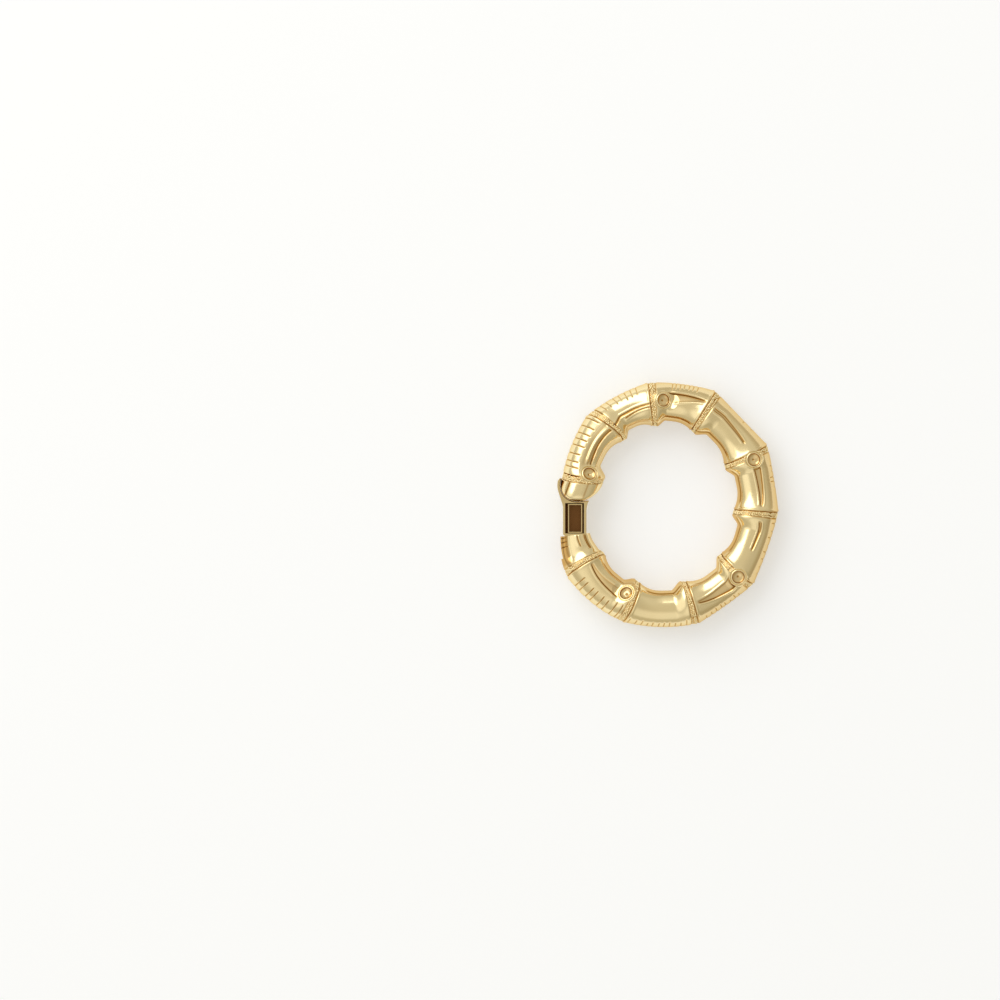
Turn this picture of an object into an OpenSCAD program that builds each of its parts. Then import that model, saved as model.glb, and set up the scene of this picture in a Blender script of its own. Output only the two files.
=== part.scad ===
// Bamboo hoop earring with a sprung ear clip, lying flat on its side.
// The hoop's plane is XY, its thickness runs along Z, and the clip is at the left.

/* [Hoop] */
// Height of the oval hoop across its tallest joints, in mm
hoop_size = 35; // [33:0.5:38]
// Thickness of the tube from front to back at each joint
joint_h = 6.1; // [5.8:0.1:6.4]
// Thickness of the tube from front to back at each waist
waist_h = 5.0; // [4.8:0.1:5.4]
// Wall of the hollow tube
wall = 0.55; // [0.45:0.05:0.6]
// Facets around the tube, a multiple of four
sides = 32; // [24:4:36]

/* [Bamboo] */
// Depth of the fine crease at each joint
crease_d = 0.12; // [0.05:0.01:0.16]
// How far the root band stands proud after each joint
band_swell = 0.08; // [0:0.01:0.12]
// Depth of the long groove that runs from each bud
groove_d = 0.36; // [0.1:0.02:0.38]
// Diameter of the collar around each bud
bud_d = 1.9; // [1.6:0.1:2.1]
// How far each bud stands proud of the tube, as far as the joints' level lets it
bud_h = 0.12; // [0:0.02:0.2]

/* [Clip] */
// Width of the clip's straight bar
clip_w = 3.35; // [3.2:0.05:3.4]
// Thickness of the clip from front to back
clip_t = 2.8; // [2.2:0.1:2.8]
// Thickness of the cup's lip around the domed end
cup_t = 0.34; // [0.3:0.01:0.4]
// Gap between the closed clip and the domed end
dome_gap = 0.13; // [0.12:0.01:0.2]
// Diameter of the hinge pin
pin_d = 0.7; // [0.5:0.05:0.7]
// Angle that the clip swings outwards
clip_open = 40; // [20:5:40]

/* [Hidden] */
gold = "#e3c584";
deep_gold = "#8c6a34";

// Places are given for a hoop 35 mm high, seen from the oval's own centre, and grow with it
base_size = 35;
k = hoop_size / base_size;
mid_z = joint_h / 2;

// The middle of the finished earring's box
middle = k * [-0.14, 0];

// The joints in clockwise order from the domed end, then the open mouth.
// Each has the outer and inner end of its crease as angle and radius,
// how far the crease leans clockwise at the front, and the place of its bud.
OUT_A = 0;
OUT_R = 1;
IN_A = 2;
IN_R = 3;
LEAN = 4;
BUD_A = 5;
BUD_R = 6;
joints = [
    // out_a  out_r  in_a  in_r  lean  bud_a  bud_r
    [166.4, 15.83, 161.4, 9.95, -0.5, 159.1, 12.2],
    [132.5, 17.4, 126.1, 11.25, 0.6, 124.3, 14.1],
    [99.8, 17.75, 101.6, 11.45, 0, 93.3, 14.9],
    [67.6, 17.6, 73.6, 11.05, 0, 65.6, 14.5],
    [31.2, 16.5, 36.2, 9.75, 0.2, 28.1, 13.7],
    [-4.1, 15.75, -4.6, 9.25, 0, -9.4, 12.3],
    [-43.2, 16.65, -42.8, 10.2, 0.4, -46.5, 14.3],
    [-76.3, 17.6, -77.9, 11.2, -0.2, -81.8, 14.2],
    [-111.9, 18.1, -111.4, 11.9, -0.6, -116.0, 14.1],
    [-144.5, 17.95, -141.9, 11.6, 0.4, -147.4, 15.2],
    [-163.6, 16.4, -160.2, 12.05, 0, 0, 0],
];

// How far each segment bulges past the straight line outside, and is drawn in inside
BULGE = 0;
WAIST = 1;
segments = [
    // bulge waist
    [0.5, 1.38],
    [0.44, 1.02],
    [0.42, 1.0],
    [-0.02, 1.2],
    [0.17, 1.13],
    [0.24, 1.15],
    [0.22, 1.24],
    [0.65, 1.32],
    [0.65, 1.09],
    [0.35, 0.33],
];
last = len(segments) - 1;

// Stations along one segment, as shares of its length, for the skin and for the hollow
skin_steps = [0, 0.018, 0.1, 0.17, 0.25, 0.34, 0.5, 0.66, 0.8, 0.91, 0.982];
mouth_steps = [0, 0.03, 0.15, 0.3, 0.5, 0.75, 1];
hollow_steps = [0.06, 0.2, 0.42, 0.66, 0.88];
hollow_end = 0.45;
band_end = 0.1;
waist_from = 0.32;
flare_from = 0.5;
flare_power = 2.4;
roundness = 2.2;
mouth_roundness = 2.7;

// The domed end's pole, and its rings as angles from the first joint towards that pole
dome_pole = k * [-13.4, 0.44];
dome_steps = [82, 70, 56, 42, 28, 14];
dome_edge_power = 8;
dome_wall_power = 5;

// The buds: where they start on each segment, and their collar and ball in section
bud_share = 0.16;
bud_sink = 0.9;
bud_wall = 0.22;
bud_dip = 0.3;
bud_round = 0.08;
bud_ball_r = 0.35;
bud_inner_r = bud_d / 2 - bud_wall;
bud_profile = [
    [0, 0],
    [bud_d / 2, 0],
    [bud_d / 2, bud_sink - bud_round],
    [bud_d / 2 - bud_round, bud_sink],
    [bud_inner_r, bud_sink],
    [bud_inner_r - 0.06, bud_sink - bud_dip],
    [bud_inner_r - 0.15, bud_sink - bud_dip],
    [bud_ball_r, bud_sink - bud_round],
    [0, bud_sink],
];

// The hinge, and the outline of the clip around it
pivot = k * [-11.12, -6.9];
knuckle_r = 0.65;
play = 0.06;
bar_left = k * -15.2;
bar_right = bar_left + clip_w;
bar_top = k * -0.4;
bar_bottom = k * -4.3;
rail_l = 0.52;
rail_r = 0.41;
flare_w = 0.35;
cup_tip = 0.1;

// The room in the mouth where the clip swings, as angles around the hinge
heel_from = 112;
heel_to = 190;
room_from = 103;
room_to = 152 + clip_open;
swing_r = 6.5;
heel_room_from = room_to - 3;
heel_room_to = heel_to + clip_open + 2;
heel_room_r = 3.85;

// The pocket in the bar and the open box that sits in it
pocket_top = k * 0.14;
pocket_bottom = k * -4.12;
pocket_z = -0.9;
box_gap = 0.2;
box_end_gap = 0.06;
box_sink = 0.12;
box_rim = 0.15;
box_floor = 0.2;

// The hinge pin's two ends, from the hoop's middle plane
pin_back = -2.6;
pin_front = 2.0;

function polar(a, r) = k * r * [cos(a), sin(a)];
function mix(a, b, t) = a + (b - a) * t;
function smooth(x) = let (c = min(1, max(0, x))) c * c * (3 - 2 * c);
function turn(v) = [-v.y, v.x];
function unit(v) = v / norm(v);
function outer_end(i) = polar(joints[i][OUT_A], joints[i][OUT_R]);
function inner_end(i) = polar(joints[i][IN_A], joints[i][IN_R]);

// 0 at both joints, 1 at the waist, with a short root band and then a steep fall
function slim(t) =
    t < band_end ? 0
    : t < flare_from ? smooth((t - band_end) / (waist_from - band_end))
    : 1 - pow((t - flare_from) / (1 - flare_from), flare_power);

// The mouth segment stays full, and grows squarer towards its open end
function slim_at(i, t) = i == last ? smooth(t / 0.5) * 0.75 : slim(t);
function power_at(i, t) = i == last ? mix(roundness, mouth_roundness, t) : roundness;

// One end of the section at share t of segment i, outside and inside
function outer_at(i, t) =
    let (a = outer_end(i), b = outer_end(i + 1), out = turn(unit(b - a)))
    mix(a, b, t) + k * out * segments[i][BULGE] * 4 * t * (1 - t);
function inner_at(i, t) =
    let (a = inner_end(i), b = inner_end(i + 1), out = turn(unit(b - a)))
    mix(a, b, t) + k * out * segments[i][WAIST] * slim(t);

// What is added to the tube's radius at share t of a segment
function relief(t) = t == 0 ? -crease_d : t <= band_end ? band_swell : 0;

// A signed power, which turns a circle into a squarer oval
function soft_power(x, n) = sign(x) * pow(abs(x), 2 / n);

// One ring of the tube: n points around the section at share t of segment i
function ring(i, t, n, inset, marks) =
    let (
        p = outer_at(i, t),
        q = inner_at(i, t),
        grow = marks ? relief(t) : 0,
        c = (p + q) / 2,
        h = (p - q) / 2,
        half = h * (norm(h) + grow - inset) / norm(h),
        tall = mix(joint_h, waist_h, slim_at(i, t)) / 2 + min(grow, 0) - inset,
        along = unit(turn(-h)) * mix(joints[i][LEAN], joints[i + 1][LEAN], t),
        bud_row = i % 2 == 0 ? n / 4 : 3 * n / 4
    )
    [for (j = [0 : n - 1])
        let (
            a = 360 * j / n,
            u = soft_power(cos(a), power_at(i, t)),
            v = soft_power(sin(a), power_at(i, t)),
            cut = marks && j == bud_row ? groove_at(i, t) : 0,
            xy = c + half * u + along * v
        )
        [xy.x, xy.y, mid_z + (tall - cut) * v]];

// Depth of the long groove, deepest by the bud and fading before the next joint
function groove_at(i, t) = i == last || t < 0.2 || t > 0.95 ? 0 : groove_d * sin(180 * (t - 0.1) / 0.9);

// The domed end in plan: half an ellipse from the first joint's outer end round to its inner end
dome_c = (outer_end(0) + inner_end(0)) / 2;
dome_h = (outer_end(0) - inner_end(0)) / 2;
dome_d = dome_pole - dome_c;
function dome_edge(a, offset) =
    let (along = dome_d * cos(a) - dome_h * sin(a))
    dome_c + dome_h * cos(a) + dome_d * sin(a) + offset * turn(unit(-along));

// A ring of the domed end, a tube that ends in an upright wall with a rounded edge
function dome_ring(a, n) =
    let (
        c = dome_c + dome_d * sin(a),
        tall = (joint_h / 2 - crease_d) * pow(1 - pow(sin(a), dome_edge_power), 1 / dome_wall_power),
        lean = unit(turn(-dome_h)) * joints[0][LEAN] * (1 - sin(a)),
        wall_power = dome_wall_power / sin(a)
    )
    [for (j = [0 : n - 1])
        let (
            u = soft_power(cos(360 * j / n), roundness),
            v = soft_power(sin(360 * j / n), roundness),
            tube = pow(1 - pow(abs(u) * cos(a), roundness), 1 / roundness),
            wall = pow(1 - pow(abs(u), wall_power), 1 / wall_power),
            xy = c + dome_h * cos(a) * u + lean * v
        )
        [xy.x, xy.y, mid_z + tall * sign(v) * tube * wall]];

// A closed skin over rings of n points, with a pole or a flat cap at each end
module skin(rings, first, final) {
    n = len(rings[0]);
    m = len(rings);
    points = concat([first], [for (r = rings) each r], [final]);
    function at(i, j) = 1 + i * n + (j % n);
    faces = concat(
        [for (j = [0 : n - 1]) [0, at(0, j), at(0, j + 1)]],
        [for (i = [0 : m - 2], j = [0 : n - 1]) [at(i, j), at(i + 1, j), at(i + 1, j + 1)]],
        [for (i = [0 : m - 2], j = [0 : n - 1]) [at(i, j), at(i + 1, j + 1), at(i, j + 1)]],
        [for (j = [0 : n - 1]) [1 + n * m, at(m - 1, j + 1), at(m - 1, j)]]
    );
    polyhedron(points, faces);
}

module bamboo_skin() {
    rings = concat(
        [for (a = dome_steps) dome_ring(a, sides)],
        [for (i = [0 : last - 1], t = skin_steps) ring(i, t, sides, 0, true)],
        [for (t = mouth_steps) ring(last, t, sides, 0, true)]
    );
    mouth = (outer_end(last + 1) + inner_end(last + 1)) / 2;
    skin(rings, [dome_pole.x, dome_pole.y, mid_z], [mouth.x, mouth.y, mid_z]);
}

module hollow() {
    rings = concat(
        [for (i = [0 : last - 1], t = hollow_steps) ring(i, t, sides / 2, wall, false)],
        [for (t = [0.1, hollow_end]) ring(last, t, sides / 2, wall, false)]
    );
    finish = (outer_at(last, hollow_end) + inner_at(last, hollow_end)) / 2;
    skin(rings, [dome_c.x, dome_c.y, mid_z], [finish.x, finish.y, mid_z]);
}

// An upright slice of a disc around the hinge, between two angles
module sector(r, from, to, t) {
    translate([pivot.x, pivot.y, mid_z - t / 2])
        rotate([0, 0, from])
            rotate_extrude(angle = to - from, $fn = 96)
                square([r, t]);
}

module upright(r, t) {
    translate([pivot.x, pivot.y, mid_z])
        cylinder(r = r, h = t, center = true, $fn = 48);
}

module clip_room() {
    t = clip_t + 2 * play;
    sector(swing_r, room_from, room_to, t);
    sector(heel_room_r, heel_room_from, heel_room_to, t);
    upright(knuckle_r + play, t);
}

// A bud is a low collar around a round ball, square to the tube's surface where it stands
module bud(i) {
    side = i % 2 == 0 ? 1 : -1;
    p = polar(joints[i][BUD_A], joints[i][BUD_R]);
    a = outer_at(i, bud_share);
    b = inner_at(i, bud_share);
    half = norm(a - b) / 2;
    u = (norm(p) - (norm(a) + norm(b)) / 2) / half;
    tall = mix(joint_h, waist_h, slim(bud_share)) / 2;
    v = pow(1 - pow(abs(u), roundness), 1 / roundness);
    tilt = atan(tall / half * sign(u) * pow(abs(u) / v, roundness - 1));
    lift = min(bud_h, joint_h / 2 - tall * v - bud_d / 2 * sin(abs(tilt)));
    translate([p.x, p.y, mid_z + side * tall * v])
        rotate([0, 0, joints[i][BUD_A]])
            rotate([side > 0 ? 0 : 180, 0, 0])
                rotate([0, tilt, 0])
                    translate([0, 0, lift - bud_sink])
                        rotate_extrude($fn = 32)
                            polygon(bud_profile);
}

module upright_bore(r, from, to) {
    translate([pivot.x, pivot.y, mid_z + from])
        cylinder(r = r, h = to - from, $fn = 48);
}

module bamboo_hoop() {
    color(gold) difference() {
        union() {
            bamboo_skin();
            for (i = [0 : last])
                bud(i);
        }
        hollow();
        clip_room();
        upright_bore(pin_d / 2 + 0.01, pin_back - 1, pin_front + 0.03);
    }
}

// Points on the hinge's own circle
function around(a, r) = pivot + r * [cos(a), sin(a)];

// The domed end's nearest place to the hinge sets the arc that the clip's top corner follows
near_a = 106;
near_p = dome_edge(near_a, 0) - pivot;
top_r = norm(near_p) - dome_gap;
top_from = atan2(near_p.y, near_p.x);
top_to = acos((bar_right + flare_w - pivot.x) / top_r);

// The clip in plan: down the inside of the cup, along the top, then down and up the bar
clip_outline = concat(
    [for (a = [0 : 7 : near_a - 3]) dome_edge(a, dome_gap)],
    [for (s = [0 : 0.5 : 1]) around(mix(top_from, top_to, s), top_r)],
    [[bar_right + flare_w / 4, bar_top + 0.25], [bar_right, bar_top - 0.35], [bar_right, bar_bottom]],
    [around(heel_from, knuckle_r), around(heel_to, knuckle_r), [bar_left, bar_bottom]],
    [[bar_left, bar_top], [bar_left - 0.12, bar_top + 0.5], [bar_left - 0.4, bar_top + 1.25]],
    [for (a = [32, 24, 16, 8]) dome_edge(a, dome_gap + cup_t)],
    [dome_edge(2, dome_gap + 2 * cup_tip), dome_edge(0, dome_gap + cup_tip)]
);

module clip_frame() {
    color(gold) difference() {
        union() {
            translate([0, 0, mid_z - clip_t / 2])
                linear_extrude(clip_t)
                    polygon(clip_outline);
            upright(knuckle_r, clip_t);
        }
        translate([bar_left + rail_l, pocket_bottom, mid_z + pocket_z])
            cube([clip_w - rail_l - rail_r, pocket_top - pocket_bottom, clip_t]);
        upright_bore(pin_d / 2 + 0.03, -clip_t, clip_t);
    }
}

module spring_box() {
    x = bar_left + rail_l + box_gap;
    y = pocket_bottom + box_end_gap;
    w = clip_w - rail_l - rail_r - 2 * box_gap;
    l = pocket_top - pocket_bottom - 2 * box_end_gap;
    h = clip_t / 2 - pocket_z - box_sink;
    color(deep_gold) difference() {
        translate([x, y, mid_z + pocket_z])
            cube([w, l, h]);
        translate([x + box_rim, y + box_rim, mid_z + pocket_z + box_floor])
            cube([w - 2 * box_rim, l - 2 * box_rim, h]);
    }
}

module hinge_pin() {
    color(deep_gold) upright_bore(pin_d / 2, pin_back, pin_front);
}

module place() {
    translate([-middle.x, -middle.y, 0])
        children();
}

place() bamboo_hoop();
place() clip_frame();
place() spring_box();
place() hinge_pin();
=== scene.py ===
# A gold hoop earring in the form of bamboo, lying flat on a white studio table.
# Lengths are in millimetres and angles in degrees; the meshes are written in metres.
import math
import random

import bmesh
import bpy
import numpy as np
from mathutils import Matrix, Vector


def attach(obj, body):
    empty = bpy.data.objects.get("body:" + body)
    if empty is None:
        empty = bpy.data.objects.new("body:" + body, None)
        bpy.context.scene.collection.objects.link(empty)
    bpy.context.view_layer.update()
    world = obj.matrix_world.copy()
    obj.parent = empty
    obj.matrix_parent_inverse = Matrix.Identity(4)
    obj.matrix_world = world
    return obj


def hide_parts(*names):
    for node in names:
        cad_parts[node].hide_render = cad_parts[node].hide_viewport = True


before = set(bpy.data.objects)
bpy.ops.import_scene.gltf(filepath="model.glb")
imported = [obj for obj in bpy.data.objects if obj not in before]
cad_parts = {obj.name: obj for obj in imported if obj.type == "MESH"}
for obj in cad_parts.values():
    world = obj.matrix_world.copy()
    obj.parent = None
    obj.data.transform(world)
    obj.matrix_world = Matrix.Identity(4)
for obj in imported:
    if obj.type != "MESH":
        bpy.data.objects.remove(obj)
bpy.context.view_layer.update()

MM = 0.001
WELD = 0.0001
FRONT, BACK = 1, -1

# The hoop's tube, as in the construction. A place on a segment is t along it, from 0 at its
# joint to 1 at the next, and u across it, from -1 at the inner rim to 1 at the outer rim.
JOINT_H = 6.1
WAIST_H = 5.0
MID_Z = JOINT_H / 2
ROUNDNESS = 2.2
# Moves the outline so that the hoop is centred
SHIFT_X = 0.14
# The t at which the level band ends, the waist is reached and the tube starts to widen again
BAND_END = 0.1
WAIST_FROM = 0.32
FLARE_FROM = 0.5
FLARE_POWER = 2.4
# The last segment doesn't widen again, and grows squarer towards its mouth
MOUTH_ROUNDNESS = 2.7
MOUTH_WAIST = 0.75
MOUTH_WAIST_T = 0.5

# Each joint's crease: outer end and inner end as angle and radius, its lean, and its bud's place
OUT_A, OUT_R, IN_A, IN_R, LEAN, BUD_A, BUD_R = range(7)
JOINTS = [
    (166.4, 15.83, 161.4, 9.95, -0.5, 159.1, 12.2),
    (132.5, 17.4, 126.1, 11.25, 0.6, 124.3, 14.1),
    (99.8, 17.75, 101.6, 11.45, 0, 93.3, 14.9),
    (67.6, 17.6, 73.6, 11.05, 0, 65.6, 14.5),
    (31.2, 16.5, 36.2, 9.75, 0.2, 28.1, 13.7),
    (-4.1, 15.75, -4.6, 9.25, 0, -9.4, 12.3),
    (-43.2, 16.65, -42.8, 10.2, 0.4, -46.5, 14.3),
    (-76.3, 17.6, -77.9, 11.2, -0.2, -81.8, 14.2),
    (-111.9, 18.1, -111.4, 11.9, -0.6, -116.0, 14.1),
    (-144.5, 17.95, -141.9, 11.6, 0.4, -147.4, 15.2),
    (-163.6, 16.4, -160.2, 12.05, 0, 0, 0),
]

# How far each segment bulges outside, and is drawn in inside
SEGMENTS = [
    (0.5, 1.38), (0.44, 1.02), (0.42, 1.0), (-0.02, 1.2), (0.17, 1.13),
    (0.24, 1.15), (0.22, 1.24), (0.65, 1.32), (0.65, 1.09), (0.35, 0.33),
]
LAST = len(SEGMENTS) - 1

# The domed end: its pole in plan, and how square its edge and its wall are
DOME_POLE = np.array([-13.4, 0.44])
DOME_EDGE_POWER = 8
DOME_WALL_POWER = 5
DOME_LEAST_SINE = 0.05
DOME_RINGS = 48
# Two lines of painted shade down the dome's front: u, half width in u, tone.
# They fade out between these angles, on the way from the joint to the pole.
DOME_LINES = [(0.60, 0.05, 0.80), (-0.28, 0.045, 0.40)]
DOME_LINE_FULL, DOME_LINE_END = 40, 70

# How closely the skin is divided, along and around it
ROW_STEP = 0.075
COLUMNS = 216
ANGLES = np.arange(COLUMNS) * 2 * math.pi / COLUMNS
END_ROWS = np.array([0.02, 0.045, 0.07, 0.1, 0.13, 0.17, 0.22, 0.27])
CUT_ROWS = (-1.5, -0.75, 0, 0.75, 1.5)
LEAST_ROW_STEP = 0.018

# The fine crease at each joint, the lip before it and the sunk root band after it, both darkened with
# painted shade.
# A tone is painted shade: 0 is the clean polished gold and 1 the darkest painted shade, deep in a recess.
CREASE_D, CREASE_W, CREASE_TONE = 0.17, 0.085, 0.75
LIP_H, LIP_W, LIP_FROM_END = 0.05, 0.14, 0.22
BAND_DROP, BAND_TONE = 0.09, 0.45
BAND_FROM, BAND_FROM_EDGE = 0.06, 0.08
BAND_TO, BAND_TO_EDGE = 0.80, 0.14

# The long grooves: from t0 to t1 along the segment, with their middle at u0 to u1 across it,
# half widths w0 to w1 and a depth. Slant 1 is deepest on the inside and -1 on the outside.
GROOVES = [
    # segment, side, t0, t1, u0, u1, w0, w1, depth, slant
    (0, FRONT, 0.20, 1.00, -0.34, -0.27, 0.30, 0.20, 0.26, 1),
    (1, FRONT, 0.04, 1.02, -0.20, 0.02, 0.16, 0.08, 0.13, 0),
    (1, FRONT, 0.34, 1.02, -0.36, -0.12, 0.06, 0.06, 0.05, 0),
    (2, FRONT, 0.14, 0.97, 0.12, 0.38, 0.98, 0.14, 0.44, -1),
    (3, FRONT, 0.10, 0.84, 0.38, 0.20, 0.24, 0.14, 0.10, 0),
    (4, FRONT, 0.10, 0.94, 0.22, 0.20, 0.56, 0.20, 0.30, 0),
    (5, FRONT, 0.14, 0.64, 0.28, 0.17, 0.20, 0.10, 0.16, 0),
    (6, FRONT, 0.06, 0.95, 0.26, 0.06, 0.94, 0.14, 0.40, -0.6),
    (8, FRONT, 0.10, 0.97, -0.26, -0.30, 0.80, 0.14, 0.46, -1),
    (9, FRONT, 0.56, 1.00, -0.22, -0.14, 0.07, 0.07, 0.05, 0),
    (9, FRONT, 0.40, 1.00, -0.66, -0.62, 0.14, 0.16, 0.10, 0),
    (0, BACK, 0.16, 0.90, 0.10, 0.20, 0.22, 0.12, 0.15, 0),
    (1, BACK, 0.12, 0.96, 0.10, 0.20, 0.94, 0.14, 0.42, -1),
    (2, BACK, 0.18, 0.84, -0.10, 0.10, 0.22, 0.12, 0.15, 0),
    (3, BACK, 0.12, 0.96, 0.20, 0.10, 0.94, 0.14, 0.42, 1),
    (4, BACK, 0.16, 0.80, 0.20, 0.10, 0.22, 0.12, 0.15, 0),
    (5, BACK, 0.12, 0.96, 0.10, 0.10, 0.94, 0.14, 0.42, -1),
    (6, BACK, 0.16, 0.80, 0.00, 0.10, 0.22, 0.12, 0.15, 0),
    (7, BACK, 0.12, 0.96, 0.10, 0.10, 0.94, 0.14, 0.42, 1),
    (8, BACK, 0.18, 0.80, 0.10, 0.00, 0.22, 0.12, 0.15, 0),
]
GROOVE_EDGE = 0.1
GROOVE_FADE_IN, GROOVE_FADE_OUT = 0.05, 0.06
# How much shallower a groove's floor gets at both sides, or across it where it slants
GROOVE_ROUNDING = 0.35
GROOVE_SLOPE = 0.42
# The painted shade on a groove's floor
GROOVE_TONE = 0.22
# The lip beside a groove, and the line of painted shade inside its edge, darker on the deeper side
GROOVE_LIP_H, GROOVE_LIP_W, GROOVE_LIP_OUT = 0.07, 0.11, 0.17
EDGE_LINE_W, EDGE_LINE_IN = 0.09, 0.05
EDGE_LINE_TONE, EDGE_LINE_SLANT = 0.6, 0.4

# The shallow facet beside the first segment's groove, darkened with painted shade
FACET_T0, FACET_T1, FACET_RISE = 0.10, 0.98, 0.35
FACET_U0, FACET_U1, FACET_W = -0.04, 0.04, 0.46
FACET_D, FACET_TONE = 0.12, 0.24

# The thin line pressed along each segment's inner rim, all but the last one's, shallow and darkened with
# painted shade
RIM_LINES = [
    # t0, t1, u0, u1, tone of painted shade
    (0.20, 0.95, -0.80, -0.82, 0.25),
    (0.10, 0.98, -0.80, -0.80, 0.50),
    (0.14, 0.98, -0.76, -0.80, 0.75),
    (0.05, 0.92, -0.83, -0.80, 0.75),
    (0.10, 0.92, -0.83, -0.83, 0.60),
    (0.08, 0.92, -0.82, -0.82, 0.60),
    (0.08, 0.94, -0.80, -0.80, 0.50),
    (0.08, 0.92, -0.82, -0.82, 0.75),
    (0.08, 0.90, -0.80, -0.80, 0.50),
]
RIM_LINE_W, RIM_LINE_D, RIM_LINE_FADE = 0.13, 0.02, 0.12

# How much painted shade the outer and the inner rim of each segment get
OUTER_SHADE = (0, 0, 0.1, 0.24, 0.26, 0.26, 0.2, 0.08, 0, 0)
INNER_SHADE = (0.18, 0.22, 0.42, 0.40, 0.40, 0.42, 0.22, 0.30, 0.40, 0.20)
OUTER_FROM, OUTER_EDGE = 0.45, 0.35
INNER_FROM, INNER_EDGE = 0.80, 0.1

# The flat panel on the lower end's front, sloping down to the strip of painted shade along its outer rim
PANEL_IN, PANEL_OUT, PANEL_END = -0.22, 0.46, 0.92
PANEL_D, PANEL_T, PANEL_T_EDGE = 0.42, 0.08, 0.34
STRIP_TONE = 0.55
STRIP_FROM, STRIP_EDGE = 0.48, 0.14
STRIP_T, STRIP_T_EDGE = 0.12, 0.15

# The short cuts across each segment's outer rim, darkened with painted shade: the first and the last one's
# t, how many they are, the u that they reach down to, their depth and their tone of painted shade
CUTS = [
    (0.10, 0.93, 9, 0.20, 0.11, 0.8),
    (0.12, 0.80, 8, 0.50, 0.09, 0.55),
    (0.36, 0.74, 7, 0.60, 0.08, 0.5),
    (0.30, 0.70, 4, 0.86, 0.05, 0.4),
    (0.30, 0.62, 5, 0.78, 0.08, 0.5),
    (0.16, 0.86, 8, 0.80, 0.09, 0.5),
    (0.24, 0.84, 8, 0.76, 0.09, 0.55),
    (0.08, 0.94, 12, 0.70, 0.09, 0.6),
    (0.14, 0.84, 8, 0.24, 0.11, 0.75),
    (0.72, 0.96, 3, 0.50, 0.03, 0.5),
]
CUT_HALF_WIDTH = 0.06
CUT_RUN_OUT = 0.10
CUT_SCATTER = 0.14
CUT_REACH_SCATTER = (-0.06, 0.10)
CUT_PLACE_SEED, CUT_REACH_SEED = 40, 80

# A bud: a low collar round a dish with a small pit in its middle, turned on its axis, with painted shade in
# the dish, the pit and the ring inside the collar
BUD_PROFILE = [
    # radius, height over the tube, tone of painted shade
    (1.26, -0.85, 0), (1.22, -0.12, 0.1), (1.12, 0.06, 0), (0.99, 0.12, 0), (0.91, 0.08, 0.1),
    (0.88, -0.05, 0.7), (0.86, -0.12, 0.75), (0.80, -0.14, 0.42), (0.62, -0.24, 0.26),
    (0.42, -0.31, 0.18), (0.20, -0.34, 0.2), (0.10, -0.40, 0.6), (0, -0.42, 0.7),
]
BUD_TURNS = 28
# Under a bud the skin is pressed down, and close round it the skin is plain, level and raised.
# Skin that lies further below the bud than its depth, on the tube's other side, stays as it is.
BUD_PIT_R, BUD_PIT_EDGE, BUD_PIT_D = 1.14, 0.12, 1.0
BUD_PLAIN_FROM, BUD_PLAIN_TO, BUD_LEVEL_TO = 1.2, 1.7, 2.1
BUD_RING_R, BUD_RING_W, BUD_RING_H = 1.22, 0.14, 0.06
BUD_DEPTH = 1.5

# The grains that crowd each root band: rows of small round bumps at these distances from the joint
GRAIN_R = 0.17
GRAIN_GAP = 0.27
GRAIN_ROWS = (0.20, 0.41, 0.62)
GRAIN_SINK = 0.55
GRAIN_SIZES = (0.7, 1.1)
GRAIN_SPACING = (0.8, 1.15)
GRAIN_SCATTER = (-1, 0, 0, 1)
GRAIN_SEED = 7
GRAIN_CLEAR_OF_BUD = 1.3


def polar(a, r):
    return r * np.array([math.cos(math.radians(a)), math.sin(math.radians(a))])


def quarter_turn(v):
    return np.array([-v[1], v[0]])


def unit(v):
    return v / np.linalg.norm(v)


def smooth(x):
    """0 below 0 and 1 above 1, with a smooth rise between them."""
    c = np.clip(x, 0, 1)
    return c * c * (3 - 2 * c)


def ramp(x, start, width):
    return smooth((x - start) / width)


def bell(x, width):
    return np.exp(-(x / width) ** 2)


def soft_power(x, n):
    return np.sign(x) * np.abs(x) ** (2 / n)


def outer_end(i):
    return polar(JOINTS[i][OUT_A], JOINTS[i][OUT_R])


def inner_end(i):
    return polar(JOINTS[i][IN_A], JOINTS[i][IN_R])


def segment_length(i):
    return np.linalg.norm((outer_end(i + 1) + inner_end(i + 1) - outer_end(i) - inner_end(i)) / 2)


def slim(t):
    """0 at both joints and 1 at the waist."""
    rise = smooth((t - BAND_END) / (WAIST_FROM - BAND_END))
    fall = 1 - (np.clip(t - FLARE_FROM, 0, 1) / (1 - FLARE_FROM)) ** FLARE_POWER
    return np.where(t < BAND_END, 0, np.where(t < FLARE_FROM, rise, fall))


def side_line(ends, i, t, reach):
    """The outer or inner outline of segment i at places t, bulged out by reach."""
    a, b = ends(i), ends(i + 1)
    out = quarter_turn(unit(b - a))
    return a + np.outer(t, b - a) + np.outer(reach, out)


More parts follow.
